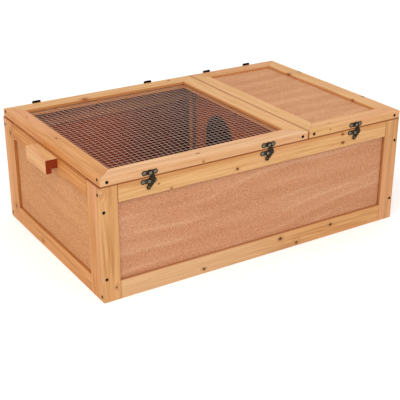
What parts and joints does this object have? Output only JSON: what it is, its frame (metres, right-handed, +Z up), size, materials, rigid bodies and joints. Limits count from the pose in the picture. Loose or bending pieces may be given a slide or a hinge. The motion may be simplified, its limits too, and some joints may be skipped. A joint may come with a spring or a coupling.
{
  "type": "tortoise house",
  "caption": "Low pine and plywood tortoise house with a hinged wire mesh lid over the run, a hinged solid lid over the den, an arched doorway between them and hook latches.",
  "frame": {"origin": "centre of the footprint, on the floor that the house stands on", "axes": "+X along the house from the mesh-lidded run to the solid-lidded den, +Y from the latches on the front to the hinges on the back, +Z up"},
  "size_m": [1.008, 0.6173, 0.3377],
  "materials": {
    "pine": "honey stained, satin",
    "plywood": "pinkish face veneer, matt",
    "galvanised_wire": "galvanised, dull",
    "bronzed_hardware": "dark antique bronze"
  },
  "bodies": {
    "base": {"back_bottom_rail": "pine", "back_left_stile": "pine", "back_panel": "plywood", "back_right_stile": "pine", "back_top_rail": "pine", "divider_batten_back": "pine", "divider_batten_front": "pine", "divider_panel": "plywood", "floor_panel": "plywood", "front_bottom_rail": "pine", "front_left_stile": "pine", "front_panel": "plywood", "front_right_stile": "pine", "front_top_rail": "pine", "hinge_1_base_leaf": "bronzed_hardware", "hinge_2_base_leaf": "bronzed_hardware", "hinge_3_base_leaf": "bronzed_hardware", "hinge_4_base_leaf": "bronzed_hardware", "hinge_pins": "bronzed_hardware", "latch_1_keeper": "bronzed_hardware", "latch_2_keeper": "bronzed_hardware", "latch_3_keeper": "bronzed_hardware", "left_end_back_stile": "pine", "left_end_bottom_rail": "pine", "left_end_front_stile": "pine", "left_end_panel": "plywood", "left_end_top_rail": "pine", "left_handle": "pine", "right_end_back_stile": "pine", "right_end_bottom_rail": "pine", "right_end_front_stile": "pine", "right_end_panel": "plywood", "right_end_top_rail": "pine", "right_handle": "pine"},
    "mesh_lid": {"hinge_1_lid_leaf": "bronzed_hardware", "hinge_2_lid_leaf": "bronzed_hardware", "latch_1_pivot_plate": "bronzed_hardware", "latch_2_pivot_plate": "bronzed_hardware", "mesh_lid_back_rail": "pine", "mesh_lid_front_rail": "pine", "mesh_lid_left_rail": "pine", "mesh_lid_right_rail": "pine", "wire_mesh": "galvanised_wire"},
    "solid_lid": {"hinge_3_lid_leaf": "bronzed_hardware", "hinge_4_lid_leaf": "bronzed_hardware", "latch_3_pivot_plate": "bronzed_hardware", "solid_lid_back_rail": "pine", "solid_lid_front_rail": "pine", "solid_lid_left_rail": "pine", "solid_lid_panel": "plywood", "solid_lid_right_rail": "pine"},
    "latch_1_hook": {"latch_1_hook": "bronzed_hardware"},
    "latch_2_hook": {"latch_2_hook": "bronzed_hardware"},
    "latch_3_hook": {"latch_3_hook": "bronzed_hardware"}
  },
  "joints": [
    {"name": "mesh_lid_hinge", "type": "hinge", "parent": "base", "child": "mesh_lid", "pos_m": [-0.16075, 0.3061, 0.30915], "axis": [-1, 0, 0], "range_deg": [0, 180]},
    {"name": "solid_lid_hinge", "type": "hinge", "parent": "base", "child": "solid_lid", "pos_m": [0.308, 0.3061, 0.30915], "axis": [-1, 0, 0], "range_deg": [0, 180]},
    {"name": "latch_1_swing", "type": "hinge", "parent": "mesh_lid", "child": "latch_1_hook", "pos_m": [-0.33421, -0.30625, 0.32015], "axis": [0, -1, 0], "range_deg": [0, 120]},
    {"name": "latch_2_swing", "type": "hinge", "parent": "mesh_lid", "child": "latch_2_hook", "pos_m": [0.01553, -0.30625, 0.32015], "axis": [0, -1, 0], "range_deg": [0, 120]},
    {"name": "latch_3_swing", "type": "hinge", "parent": "solid_lid", "child": "latch_3_hook", "pos_m": [0.30832, -0.30625, 0.32015], "axis": [0, -1, 0], "range_deg": [0, 120]}
  ]
}
